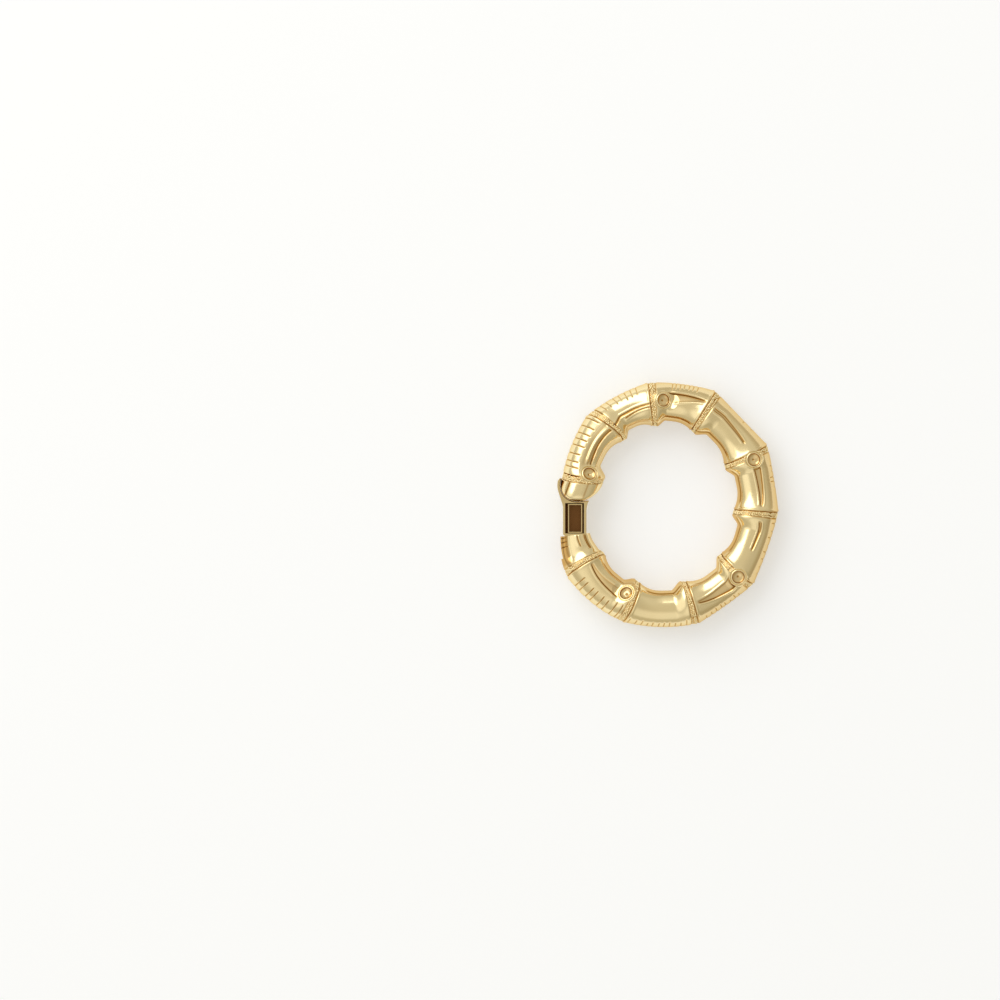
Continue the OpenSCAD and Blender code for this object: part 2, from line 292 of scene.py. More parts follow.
def tube(i, t, angles):
    """Points of the plain tube of segment i, a row for each t, with their u, side and half width."""
    bulge, draw = SEGMENTS[i]
    p = side_line(outer_end, i, t, bulge * 4 * t * (1 - t))
    q = side_line(inner_end, i, t, draw * slim(t))
    c, h = (p + q) / 2, (p - q) / 2
    if i == LAST:
        waist = smooth(t / MOUTH_WAIST_T) * MOUTH_WAIST
        power = ROUNDNESS + (MOUTH_ROUNDNESS - ROUNDNESS) * t
    else:
        waist = slim(t)
        power = np.full(len(t), ROUNDNESS)
    tall = (JOINT_H + (WAIST_H - JOINT_H) * waist) / 2
    lean = JOINTS[i][LEAN] * (1 - t) + JOINTS[i + 1][LEAN] * t
    half = np.linalg.norm(h, axis=1)[:, None]
    along = np.stack([h[:, 1], -h[:, 0]], 1) / half * lean[:, None]
    u = soft_power(np.cos(angles)[None, :], power[:, None])
    v = soft_power(np.sin(angles)[None, :], power[:, None])
    xy = c[:, None, :] + h[:, None, :] * u[:, :, None] + along[:, None, :] * v[:, :, None]
    z = MID_Z + tall[:, None] * v
    return np.dstack([xy[:, :, 0] + SHIFT_X, xy[:, :, 1], z]), u, np.sign(v), half


def dome_axes():
    """The first joint's middle and its outer half, and the way from there to the dome's pole."""
    middle = (outer_end(0) + inner_end(0)) / 2
    return middle, (outer_end(0) - inner_end(0)) / 2, DOME_POLE - middle


def dome(steps, angles):
    """Rings of the domed end, from its pole to the first joint."""
    middle, h, d = dome_axes()
    rows = []
    for a in np.radians(steps):
        s, c = math.sin(a), math.cos(a)
        tall = JOINT_H / 2 * (1 - s ** DOME_EDGE_POWER) ** (1 / DOME_WALL_POWER)
        lean = unit(np.array([h[1], -h[0]])) * JOINTS[0][LEAN] * (1 - s)
        power = DOME_WALL_POWER / max(s, DOME_LEAST_SINE)
        u = soft_power(np.cos(angles), ROUNDNESS)
        v = soft_power(np.sin(angles), ROUNDNESS)
        round_part = np.clip(1 - (np.abs(u) * c) ** ROUNDNESS, 0, 1) ** (1 / ROUNDNESS)
        wall_part = np.clip(1 - np.abs(u) ** power, 0, 1) ** (1 / power)
        xy = middle + d * s + np.outer(u, h * c) + np.outer(v, lean)
        z = MID_Z + tall * np.sign(v) * round_part * wall_part
        rows.append(np.column_stack([xy[:, 0] + SHIFT_X, xy[:, 1], z]))
    return np.array(rows)


def dome_tones(steps, angles):
    """The dome's painted shade: two lines that run straight down its front."""
    across = soft_power(np.cos(angles), ROUNDNESS)[None, :] * np.cos(np.radians(steps))[:, None]
    front = (np.sin(angles) > 0)[None, :]
    fade = ramp(-steps[:, None], -DOME_LINE_END, DOME_LINE_END - DOME_LINE_FULL)
    return sum(tone * bell(across - u, half_width) for u, half_width, tone in DOME_LINES) * front * fade


def surface_normals(grid, inside):
    """Outward normals of a grid of points that closes on itself along its second axis."""
    along = np.gradient(grid, axis=0)
    around = np.roll(grid, -1, 1) - np.roll(grid, 1, 1)
    n = np.cross(along, around)
    n /= np.maximum(np.linalg.norm(n, axis=2), 1e-9)[:, :, None]
    outward = np.sum(n * (grid - inside), axis=2).mean()
    return n if outward > 0 else -n


def cut_places(i):
    """The places t of a segment's cuts, slightly uneven."""
    t0, t1, count = CUTS[i][:3]
    rng = random.Random(CUT_PLACE_SEED + i)
    gap = (t1 - t0) / max(count - 1, 1)
    return [t0 + gap * (k + rng.uniform(-CUT_SCATTER, CUT_SCATTER)) for k in range(count)]


def segment_rows(i, cuts):
    """The places t of the skin's rows, closer at the segment's ends and at each cut."""
    length = segment_length(i)
    rows = list(np.linspace(0, 1, int(length / ROW_STEP)))
    rows += list(END_ROWS / length) + list(1 - END_ROWS / length)
    for t in cuts:
        rows += [t + k * CUT_HALF_WIDTH / length for k in CUT_ROWS]
    kept = [0.0]
    for row in sorted(row for row in rows if 0 <= row <= 1):
        if row - kept[-1] > LEAST_ROW_STEP / length:
            kept.append(row)
    kept[-1] = 1.0
    return np.array(kept)


# The relief. Each function gives how far the surface stands proud of the plain tube, and its tone of
# painted shade.

def joint_relief(i, t):
    """The creases at the segment's ends, the lip before the next joint and the root band, with painted
    shade in the creases and on the band.
    """
    from_joint = t * segment_length(i)
    to_next = (1 - t) * segment_length(i)
    band = ramp(from_joint, BAND_FROM, BAND_FROM_EDGE) * (1 - ramp(from_joint, BAND_TO, BAND_TO_EDGE))
    height = -CREASE_D * bell(from_joint, CREASE_W) - BAND_DROP * band
    tone = CREASE_TONE * bell(from_joint, CREASE_W) + BAND_TONE * band
    if i < LAST:
        height += LIP_H * bell(to_next - LIP_FROM_END, LIP_W) - CREASE_D * bell(to_next, CREASE_W)
        tone += CREASE_TONE * bell(to_next, CREASE_W)
    return height, tone


def groove_relief(groove, t, u, side, half):
    """A long groove: its floor with painted shade, the lip beside it and lines of painted shade along its
    edges.
    """
    segment, face, t0, t1, u0, u1, w0, w1, depth, slant = groove
    share = np.clip((t - t0) / (t1 - t0), 0, 1)
    w = w0 + (w1 - w0) * share
    cross = (u - (u0 + (u1 - u0) * share)) * half
    out = np.abs(cross) - w
    on = ramp(t, t0, GROOVE_FADE_IN) * (1 - ramp(t, t1 - GROOVE_FADE_OUT, GROOVE_FADE_OUT)) * (side == face)
    wall = 1 - ramp(out, -GROOVE_EDGE, 2 * GROOVE_EDGE)
    tilt = np.clip(cross / w, -1, 1) * slant
    if slant == 0:
        floor = 1 - GROOVE_ROUNDING * np.clip(cross / w, -1, 1) ** 2
    else:
        floor = 1 - GROOVE_SLOPE * (1 + tilt)
    sunk = depth * (w / max(w0, w1)) ** 0.5 * wall * floor
    lip = GROOVE_LIP_H * bell(out - GROOVE_LIP_OUT, GROOVE_LIP_W)
    edge_line = bell(out + EDGE_LINE_IN, EDGE_LINE_W) * (EDGE_LINE_TONE - EDGE_LINE_SLANT * tilt)
    return on * (lip - sunk), on * (GROOVE_TONE * wall + edge_line)


def facet_relief(t, u, side, half):
    """The shallow facet between the first segment's cuts and its groove, darkened with painted shade."""
    share = np.clip((t - FACET_T0) / (FACET_T1 - FACET_T0), 0, 1)
    x = np.abs(u - FACET_U0 - (FACET_U1 - FACET_U0) * share) * half / FACET_W
    bowl = (side == FRONT) * smooth(share / FACET_RISE) * np.cos(np.clip(x, 0, 1) * math.pi / 2) ** 2
    return -FACET_D * bowl, FACET_TONE * bowl


def rim_line_relief(i, t, u, half):
    """The thin line along the inner rim, on the front and back, darkened with painted shade."""
    t0, t1, u0, u1, tone = RIM_LINES[i]
    share = np.clip((t - t0) / (t1 - t0), 0, 1)
    ends = smooth(share / RIM_LINE_FADE) * smooth((1 - share) / RIM_LINE_FADE)
    line = ends * bell((u - u0 - (u1 - u0) * share) * half, RIM_LINE_W)
    return -RIM_LINE_D * line, tone * line


def lower_end_relief(t, u, side):
    """The lower end's sloping panel and the strip of painted shade along its outer rim."""
    slope = np.clip((u - PANEL_IN) / (PANEL_OUT - PANEL_IN), 0, 1)
    panel = slope * (1 - ramp(u, PANEL_OUT, PANEL_END - PANEL_OUT)) * ramp(t, PANEL_T, PANEL_T_EDGE)
    strip = ramp(u, STRIP_FROM, STRIP_EDGE) * ramp(t, STRIP_T, STRIP_T_EDGE)
    return -PANEL_D * (side == FRONT) * panel, STRIP_TONE * strip


def cut_relief(i, t, u, cuts):
    """The short cuts across the outer rim, each with its own reach, darkened with painted shade."""
    rng = random.Random(CUT_REACH_SEED + i)
    reach, depth, tone = CUTS[i][3:]
    total = 0
    for cut in cuts:
        stop = reach + rng.uniform(*CUT_REACH_SCATTER)
        total = total + ramp(u, stop, CUT_RUN_OUT) * bell((t - cut) * segment_length(i), CUT_HALF_WIDTH)
    return -depth * total, tone * total


def relief(i, t, u, side, half, cuts):
    """All the relief of segment i."""
    t = t[:, None]
    parts = [joint_relief(i, t), cut_relief(i, t, u, cuts)]
    parts += [groove_relief(groove, t, u, side, half) for groove in GROOVES if groove[0] == i]
    if i == 0:
        parts.append(facet_relief(t, u, side, half))
    if i < LAST:
        parts.append(rim_line_relief(i, t, u, half))
    else:
        parts.append(lower_end_relief(t, u, side))
    height = sum(part[0] for part in parts)
    outer = OUTER_SHADE[i] * ramp(u, OUTER_FROM, OUTER_EDGE)
    inner = INNER_SHADE[i] * ramp(-u, INNER_FROM, INNER_EDGE)
    tone = sum(part[1] for part in parts) + outer + inner
    return height, np.clip(tone, 0, 1)


class Skin:
    """One segment's surface, on which its bud and its grains find their places."""

    def __init__(self, i):
        cuts = cut_places(i)
        self.t = segment_rows(i, cuts)
        self.base, u, self.side, half = tube(i, self.t, ANGLES)
        self.normal = surface_normals(self.base, self.base.mean(axis=1, keepdims=True))
        self.height, self.tone = relief(i, self.t, u, self.side, half, cuts)
        self.pressed = np.zeros_like(self.base)

    def finish(self):
        self.points = self.base + self.normal * self.height[:, :, None] + self.pressed
        self.points[:, :, 2] = np.clip(self.points[:, :, 2], 0.0, JOINT_H)


def bud_place(i, skin):
    """Centre and normal of the bud on segment i, sunk so far that it keeps to the hoop's height."""
    face = FRONT if i % 2 == 0 else BACK
    xy = polar(JOINTS[i][BUD_A], JOINTS[i][BUD_R]) + np.array([SHIFT_X, 0])
    far = np.linalg.norm(skin.base[:, :, :2] - xy, axis=2)
    far[skin.side != face] = math.inf
    r, c = np.unravel_index(np.argmin(far), far.shape)
    centre, normal = Vector(skin.base[r, c]), Vector(skin.normal[r, c])
    flat = math.hypot(normal.x, normal.y)
    reach = max(height * abs(normal.z) + radius * flat for radius, height, tone in BUD_PROFILE)
    over = abs(centre.z - MID_Z) + reach - JOINT_H / 2
    centre.z -= math.copysign(max(0, over), centre.z - MID_Z)
    return centre, normal


def press_bud(skin, centre, normal):
    """Levels the skin round a bud and sinks it under the dish, which is open to the front."""
    away = skin.base - np.array(centre)
    rise = away @ np.array(normal)
    r = np.sqrt(np.maximum(np.sum(away * away, axis=2) - rise * rise, 0))
    r[rise < -BUD_DEPTH] = JOINT_H
    inside = 1 - ramp(r, BUD_PIT_R - BUD_PIT_EDGE, BUD_PIT_EDGE)
    plain = 1 - ramp(r, BUD_PLAIN_FROM, BUD_PLAIN_TO - BUD_PLAIN_FROM)
    level = 1 - ramp(r, BUD_PLAIN_FROM, BUD_LEVEL_TO - BUD_PLAIN_FROM)
    ring = bell(r - BUD_RING_R, BUD_RING_W)
    skin.height = skin.height * (1 - plain)
    push = np.maximum(rise + skin.height, 0) * level + BUD_PIT_D * inside
    skin.pressed -= push[:, :, None] * np.array(normal)
    skin.height += BUD_RING_H * ring
    skin.tone = skin.tone * (1 - ring)


# Meshes

def new_object(name, bm, material, body, replaced):
    """Makes a piece that rides on a body, and stands in for a node."""
    mesh = bpy.data.meshes.new(name)
    bm.to_mesh(mesh)
    bm.free()
    obj = bpy.data.objects.new(name, mesh)
    bpy.context.scene.collection.objects.link(obj)
    mesh.materials.append(material)
    for polygon in mesh.polygons:
        polygon.use_smooth = True
    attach(obj, body)
    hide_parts(replaced)
    return obj


def hoop_piece(name, bm):
    return new_object(name, bm, hoop_gold, "hoop", "bamboo_hoop")


def close_up(bm):
    """Welds the seams, fills what is open and turns the faces outwards."""
    bmesh.ops.remove_doubles(bm, verts=bm.verts, dist=WELD * MM)
    bmesh.ops.holes_fill(bm, edges=[e for e in bm.edges if e.is_boundary], sides=0)
    bmesh.ops.recalc_face_normals(bm, faces=bm.faces)


def tube_mesh(points, tone):
    """A closed tube of rows of points, made from a grid whose long edges are joined."""
    rows, columns = points.shape[:2]
    bm = bmesh.new()
    bmesh.ops.create_grid(bm, x_segments=columns, y_segments=rows - 1, size=0.5)
    hollow = bm.verts.layers.float.new("hollow")
    wrapped = np.concatenate([points, points[:, :1]], axis=1) * MM
    for v in bm.verts:
        column = round((v.co.x + 0.5) * columns)
        row = round((v.co.y + 0.5) * (rows - 1))
        v.co = Vector(wrapped[row, column])
        v[hollow] = tone[row, column % columns]
    close_up(bm)
    return bm


def make_bud(i, centre, normal):
    """One bud, turned from its profile and set upright on the skin."""
    bm = bmesh.new()
    hollow = bm.verts.layers.float.new("hollow")
    verts = []
    for radius, height, tone in BUD_PROFILE:
        verts.append(bm.verts.new((radius * MM, 0, height * MM)))
        verts[-1][hollow] = tone
    edges = [bm.edges.new(pair) for pair in zip(verts, verts[1:])]
    bmesh.ops.spin(bm, geom=verts + edges, cent=(0, 0, 0), axis=(0, 0, 1), angle=2 * math.pi,
                   steps=BUD_TURNS, use_merge=True)
    close_up(bm)
    turned = normal.to_track_quat("Z", "Y").to_matrix().to_4x4()
    bmesh.ops.transform(bm, matrix=Matrix.Translation(centre * MM) @ turned, verts=bm.verts)
    bud = hoop_piece(f"bud_{i + 1}", bm)
    smoothing = bud.modifiers.new("smooth", "SUBSURF")
    smoothing.levels = smoothing.render_levels = 2


def grain_template():
    """One round grain of a few dozen faces, one millimetre in radius."""
    bm = bmesh.new()
    bm.verts.layers.float.new("hollow")
    bmesh.ops.create_uvsphere(bm, u_segments=8, v_segments=5, radius=MM)
    mesh = bpy.data.meshes.new("grain")
    bm.to_mesh(mesh)
    bm.free()
    return mesh


def make_grains(i, skin, bud, grain):
    """Uneven rows of grains on a root band, leaving its bud free."""
    rng = random.Random(GRAIN_SEED + i)
    bm = bmesh.new()
    bm.verts.layers.float.new("hollow")
    for distance in GRAIN_ROWS:
        row = int(np.argmin(np.abs(skin.t * segment_length(i) - distance)))
        ring = skin.points[row]
        steps = np.linalg.norm(np.roll(ring, -1, 0) - ring, axis=1)
        walked = np.concatenate([[0], np.cumsum(steps)])
        place = rng.uniform(0, GRAIN_GAP)
        while place < walked[-1] - GRAIN_GAP / 2:
            column = int(np.searchsorted(walked, place)) % COLUMNS
            near_row = row + rng.choice(GRAIN_SCATTER)
            p = skin.points[near_row, column]
            size = GRAIN_R * rng.uniform(*GRAIN_SIZES)
            place += GRAIN_GAP * rng.uniform(*GRAIN_SPACING)
            if np.linalg.norm(p - np.array(bud)) < GRAIN_CLEAR_OF_BUD:
                continue
            centre = p - skin.normal[near_row, column] * size * GRAIN_SINK
            centre[2] = min(max(centre[2], size), JOINT_H - size)
            first = len(bm.verts)
            bm.from_mesh(grain)
            bm.verts.ensure_lookup_table()
            for v in bm.verts[first:]:
                v.co = v.co * size + Vector(centre * MM)
    hoop_piece(f"grains_{i + 1}", bm)


# Materials

def linear(hex_colour):
    """An sRGB hex colour as linear red, green, blue and alpha."""
    channels = [int(hex_colour[i:i + 2], 16) / 255 for i in (1, 3, 5)]
    return (*[c / 12.92 if c <= 0.04045 else ((c + 0.055) / 1.055) ** 2.4 for c in channels], 1.0)


def add_node(tree, kind, settings=None, links=None):
    """Adds a node, sets its properties and inputs, and links its inputs from (node, output)."""
    node = tree.nodes.new(kind)
    for key, value in (settings or {}).items():
        if isinstance(key, str) and hasattr(node, key):
            setattr(node, key, value)
        else:
            node.inputs[key].default_value = value
    for key, (source, output) in (links or {}).items():
        tree.links.new(source.outputs[output], node.inputs[key])
    return node


def new_material(name):
    material = bpy.data.materials.new(name)
    material.use_nodes = True
    material.node_tree.nodes.clear()
    return material, material.node_tree


# Ripples left by hand polishing, the haze of wear and patches of tone, as waves to a millimetre
RIPPLES, HAZE, PATCHES = 0.7, 2.6, 0.26
RIPPLE_H = 0.08
HAZE_ROUGHNESS = 0.08
PATCH_SHARE = 0.25
# The colours of painted shade at half and at full tone, and the tint that the gold's glance takes
PAINTED_SHADE_GOLD, DEEP_PAINTED_SHADE_GOLD, GLANCE = "#c8943f", "#6e441a", "#f7e6c4"
FULL_COVER = 0.7


def polished_gold(name, clean, shade, roughness):
    """18 carat yellow gold, cast and hand polished: a clear warm mirror with faint ripples,
    a fine haze from wear, and painted shade, darker and warmer, wherever the mesh carries it."""
    material, tree = new_material(name)
    place = add_node(tree, "ShaderNodeTexCoord")
    on_object = {"Vector": (place, "Object")}
    ripple = add_node(tree, "ShaderNodeTexNoise", {"Scale": RIPPLES / MM, "Detail": 1.0}, on_object)
    haze = add_node(tree, "ShaderNodeTexNoise", {"Scale": HAZE / MM, "Detail": 3.0}, on_object)
    patches = add_node(tree, "ShaderNodeTexNoise", {"Scale": PATCHES / MM, "Detail": 1.0}, on_object)
    bump = add_node(tree, "ShaderNodeBump", {"Strength": 0.12, "Distance": RIPPLE_H * MM},
                    {"Height": (ripple, "Fac")})
    rough = add_node(tree, "ShaderNodeMapRange",
                     {"From Min": 0.35, "From Max": 0.7,
                      "To Min": roughness, "To Max": roughness + HAZE_ROUGHNESS},
                     {"Value": (haze, "Fac")})
    vary = add_node(tree, "ShaderNodeMapRange",
                    {"From Min": 0.3, "From Max": 0.7, "To Min": 0.0, "To Max": PATCH_SHARE},
                    {"Value": (patches, "Fac")})
    base = add_node(tree, "ShaderNodeMix", {"data_type": "RGBA", 6: linear(clean), 7: linear(shade)},
                    {0: (vary, "Result")})
    # The painted shade read from the mesh, which darkens and warms the gold
    hollow = add_node(tree, "ShaderNodeAttribute", {"attribute_name": "hollow"})
    shade_ramp = add_node(tree, "ShaderNodeValToRGB", None, {0: (hollow, "Fac")})
    half_shade_stop, full_shade_stop = shade_ramp.color_ramp.elements
    half_shade_stop.position, half_shade_stop.color = 0.5, linear(PAINTED_SHADE_GOLD)
    full_shade_stop.position, full_shade_stop.color = 1.0, linear(DEEP_PAINTED_SHADE_GOLD)
    cover = add_node(tree, "ShaderNodeMapRange",
                     {"From Min": 0.0, "From Max": FULL_COVER, "To Min": 0.0, "To Max": 1.0},
                     {"Value": (hollow, "Fac")})
    colour = add_node(tree, "ShaderNodeMix", {"data_type": "RGBA"},
                      {0: (cover, "Result"), 6: (base, 2), 7: (shade_ramp, "Color")})
    shader = add_node(tree, "ShaderNodeBsdfPrincipled", {"Metallic": 1.0, "Specular Tint": linear(GLANCE)},
                      {"Base Color": (colour, 2), "Roughness": (rough, "Result"),
                       "Normal": (bump, "Normal")})
    add_node(tree, "ShaderNodeOutputMaterial", None, {"Surface": (shader, "BSDF")})
    return material


# The cast hoop; the drawn clip, painted a little darker as shade; the spring's box and the pocket's inside,
# painted dark brown as shade; and the turned pin
hoop_gold = polished_gold("polished_gold_hoop", "#fbe9b8", "#f5dea8", 0.12)
# The clip's gold is the hoop's, painted a little darker as shade
shaded_clip_gold = polished_gold("polished_gold_clip_painted_shade", "#e9d3a0", "#d3b67c", 0.13)
painted_shade_brown = polished_gold("painted_shade_brown_gold", "#7d5733", "#54371d", 0.24)
pin_gold = polished_gold("polished_gold_pin", "#efd090", "#dfbd78", 0.14)

# The hoop: one closed piece for each segment, meeting its neighbours in the creases
skins = [Skin(i) for i in range(LAST + 1)]
buds = [bud_place(i, skin) for i, skin in enumerate(skins)]
for i, (centre, normal) in enumerate(buds):
    for skin in skins[max(i - 1, 0):i + 1]:
        press_bud(skin, centre, normal)
segments = []
for i, skin in enumerate(skins):
    skin.finish()
    segments.append(hoop_piece(f"bamboo_segment_{i + 1}", tube_mesh(skin.points, skin.tone)))

dome_steps = np.array([90 * (1 - k / DOME_RINGS) for k in range(1, DOME_RINGS + 1)])
hoop_piece("domed_end", tube_mesh(dome(dome_steps, ANGLES), dome_tones(dome_steps, ANGLES)))

for i, (centre, normal) in enumerate(buds):
    make_bud(i, centre, normal)

grain = grain_template()
for i, skin in enumerate(skins):
    make_grains(i, skin, buds[i][0], grain)
bpy.data.meshes.remove(grain)

# The clip, as in the construction. The knuckle's outline runs clockwise round the pin.
CLIP_T = 2.8
CLIP_LOW, CLIP_HIGH = MID_Z - CLIP_T / 2, MID_Z + CLIP_T / 2
PIVOT = np.array([-11.12, -6.9])
PIN_R = 0.35
KNUCKLE_R = 0.65
KNUCKLE_FROM, KNUCKLE_TURN, KNUCKLE_STEPS = 112, 282, 24
PLAY = 0.06
PIN_PLAY, BORE_PLAY = 0.03, 0.01
BORE_TOP = MID_Z + 2.03
BAR_LEFT, BAR_RIGHT = -15.2, -11.85
BAR_TOP, BAR_BOTTOM = -0.4, -4.3
# The flares at the bar's top: steps out from its corners, from the top down and from the bottom up
FLARE_W = 0.35
RIGHT_FLARE = [(0.2, 0.62), (0.1, 0.25), (0.03, -0.1), (0, -0.45)]
LEFT_FLARE = [(0, 0), (-0.04, 0.25), (-0.12, 0.55), (-0.24, 0.9), (-0.36, 1.25)]
# The cup: its gap to the dome, closer at mid height, and its angles round the dome
CUP_T, CUP_TIP = 0.34, 0.1
DOME_GAP, CLOSE_GAP = 0.13, 0.015
CUP_TO, CUP_POINTS = 106, 36
CUP_ROUNDING = 4
CUP_OUTSIDE = np.linspace(34, 8, 14)
TIP_A = 2
TOP_POINTS = 6
# The outline's first points face the dome, and get painted shade below the clip's flat face
FACING_POINTS, FACING_TONE = CUP_POINTS + TOP_POINTS, 0.55
FACE_T = 0.08
# Where faces meet at more than these angles on the clip and on the hoop, the edge stays crisp;
# past the last one it is bevelled
CLIP_CORNER, HOOP_CORNER, BEVEL_CORNER = 30, 40, 40
BAR_BEVEL, BOX_BEVEL = 0.05, 0.03
# The pocket, its rails and its chamfer, which spreads to the left, right, bottom and top in plan
RAIL_L, RAIL_R = 0.52, 0.41
POCKET_TOP, POCKET_BOTTOM = 0.14, -4.12
POCKET_FLOOR = MID_Z - 0.9
POCKET_L, POCKET_R = BAR_LEFT + RAIL_L, BAR_RIGHT - RAIL_R
CHAMFER_D = 0.26
CHAMFER = (0.24, 0.06, 0.02, 0.06)
# The spring's box, seated just off the pocket's floor
BOX_GAP, BOX_END_GAP, BOX_SINK = 0.2, 0.06, 0.12
BOX_RIM, BOX_FLOOR = 0.15, 0.2
BOX_L, BOX_R = POCKET_L + BOX_GAP, POCKET_R - BOX_GAP
BOX_BOTTOM, BOX_TOP = POCKET_BOTTOM + BOX_END_GAP, POCKET_TOP - BOX_END_GAP
BOX_HIGH = CLIP_HIGH - BOX_SINK
SEAT = 0.005
# The room for the clip in the lower end: angles and radii about the pin
ROOM_FROM, ROOM_TO, HEEL_TO = 103, 192, 232
SWING_R, HEEL_R = 6.5, 3.85
ROOM_POINTS, HEEL_POINTS, DISC_POINTS = 40, 20, 48
# How far a cutter runs past what it cuts, and the least step that tells two faces apart
PAST = 1
SLIGHT = 0.01


def dome_edge(a, offset):
    """A point on the domed end's outline in plan, moved outwards."""
    middle, h, d = dome_axes()
    s, c = math.sin(math.radians(a)), math.cos(math.radians(a))
    return middle + h * c + d * s + offset * quarter_turn(unit(h * s - d * c))


def around(a, r):
    return PIVOT + polar(a, r)


def clip_plan(gap):
    """The clip's outline: down the inside of the cup, along the top, then round the bar."""
    near = dome_edge(CUP_TO, 0) - PIVOT
    top_r = np.linalg.norm(near) - gap
    top_from = math.degrees(math.atan2(near[1], near[0]))
    top_to = math.degrees(math.acos((BAR_RIGHT + FLARE_W - PIVOT[0]) / top_r))
    cup_inside = [dome_edge(a, gap) for a in np.linspace(0, CUP_TO - CUP_ROUNDING, CUP_POINTS)]
    top = [around(top_from + (top_to - top_from) * s, top_r) for s in np.linspace(0, 1, TOP_POINTS)]
    right = [(BAR_RIGHT + x, BAR_TOP + y) for x, y in RIGHT_FLARE] + [(BAR_RIGHT, BAR_BOTTOM)]
    turns = [KNUCKLE_FROM - k * KNUCKLE_TURN / KNUCKLE_STEPS for k in range(KNUCKLE_STEPS + 1)]
    knuckle = [around(a, KNUCKLE_R) for a in turns]
    left = [(BAR_LEFT, BAR_BOTTOM)] + [(BAR_LEFT + x, BAR_TOP + y) for x, y in LEFT_FLARE]
    cup_outside = [dome_edge(a, DOME_GAP + CUP_T) for a in CUP_OUTSIDE]
    tip = [dome_edge(TIP_A, DOME_GAP + 2 * CUP_TIP), dome_edge(0, DOME_GAP + CUP_TIP)]
    return cup_inside + top + right + knuckle + left + cup_outside + tip


def stacked(levels, facing=0):
    """A solid through plan outlines of equal length, each at its own height. The sides at the
    first few points of the outline, below the topmost level, get the facing's tone of painted shade."""
    bm = bmesh.new()
    hollow = bm.verts.layers.float.new("hollow")
    order = bm.verts.layers.int.new("order")
    bottom, outline = levels[0]
    verts = [bm.verts.new(((x + SHIFT_X) * MM, y * MM, bottom * MM)) for x, y in outline]
    for k, v in enumerate(verts):
        v[order] = k
    face = bm.faces.new(verts)
    for level, (z, outline) in enumerate(levels[1:]):
        made = bmesh.ops.extrude_face_region(bm, geom=[face])
        if level > 0 and face.is_valid:
            bm.faces.remove(face)
        face = next(g for g in made["geom"] if isinstance(g, bmesh.types.BMFace))
        for v in face.verts:
            x, y = outline[v[order]]
            v.co = Vector(((x + SHIFT_X) * MM, y * MM, z * MM))
            v[hollow] = FACING_TONE if v[order] < facing and z < levels[-1][0] else 0.0
    bmesh.ops.recalc_face_normals(bm, faces=bm.faces)
    return bm


def prism(outline, bottom, top):
    """An upright prism over a plan outline."""
    return stacked([(bottom, outline), (top, outline)])


def disc_plan(r):
    return [around(a, r) for a in np.linspace(0, 360, DISC_POINTS, endpoint=False)]


def box_solid(left, right, near, far, low, high, spread=(0, 0, 0, 0)):
    """A box from near to far in y, whose top may spread outwards to its left, right, near and far."""
    bm = bmesh.new()
    bmesh.ops.create_cube(bm, size=1)
    for v in bm.verts:
        on_top = v.co.z > 0
        x = right + spread[1] * on_top if v.co.x > 0 else left - spread[0] * on_top
        y = far + spread[3] * on_top if v.co.y > 0 else near - spread[2] * on_top
        v.co = Vector(((x + SHIFT_X) * MM, y * MM, (high if on_top else low) * MM))
    return bm


def cut_away(obj, cutters):
    """Cuts the given solids out of a piece and closes any sliver the cut leaves open."""
    for bm in cutters:
        mesh = bpy.data.meshes.new("cutter")
        bm.to_mesh(mesh)
        bm.free()
        cutter = bpy.data.objects.new("cutter", mesh)
        bpy.context.scene.collection.objects.link(cutter)
        cut = obj.modifiers.new("cut", "BOOLEAN")
        cut.operation = "DIFFERENCE"
        cut.solver = "EXACT"
        cut.object = cutter
        graph = bpy.context.evaluated_depsgraph_get()
        finished = bpy.data.meshes.new_from_object(obj.evaluated_get(graph))
        obj.modifiers.clear()
        obj.data = finished
        bpy.data.objects.remove(cutter)
    bm = bmesh.new()
    bm.from_mesh(obj.data)
    bmesh.ops.holes_fill(bm, edges=[e for e in bm.edges if e.is_boundary], sides=0)
    bm.to_mesh(obj.data)
    bm.free()


def paint_shade_inside(obj, left, right, near, far, low, high):
    """Gives the faces whose middle lies between these bounds the dark brown gold of painted shade."""
    obj.data.materials.append(painted_shade_brown)
    for polygon in obj.data.polygons:
        x, y, z = polygon.center / MM
        inside = left < x - SHIFT_X < right and near < y < far and low < z < high
        polygon.material_index = 1 if inside else 0


def sharpen(obj, angle):
    """Keeps flat faces crisp where they meet at more than this angle."""
    for polygon in obj.data.polygons:
        polygon.use_smooth = True
    obj.data.set_sharp_from_angle(angle=math.radians(angle))


def bevelled(obj, width, segments):
    bevel = obj.modifiers.new("edge", "BEVEL")
    bevel.width = width * MM
    bevel.segments = segments
    bevel.limit_method = "ANGLE"
    bevel.angle_limit = math.radians(BEVEL_CORNER)
    bevel.harden_normals = True


# The clip's bar: its cup leans closest to the dome at mid height
wide, close = clip_plan(DOME_GAP), clip_plan(CLOSE_GAP)
bar_levels = [(CLIP_LOW, wide), (MID_Z, close), (CLIP_HIGH - FACE_T, wide), (CLIP_HIGH, wide)]
bar = new_object("clip_frame_bar", stacked(bar_levels, FACING_POINTS), shaded_clip_gold,
                 "clip", "clip_frame")
pocket = (POCKET_L, POCKET_R, POCKET_BOTTOM, POCKET_TOP)
cut_away(bar, [
    box_solid(*pocket, POCKET_FLOOR, CLIP_HIGH + PAST),
    box_solid(*pocket, CLIP_HIGH - CHAMFER_D, CLIP_HIGH + SLIGHT, CHAMFER),
    prism(disc_plan(PIN_R + PIN_PLAY), CLIP_LOW - PAST, CLIP_HIGH + PAST),
])
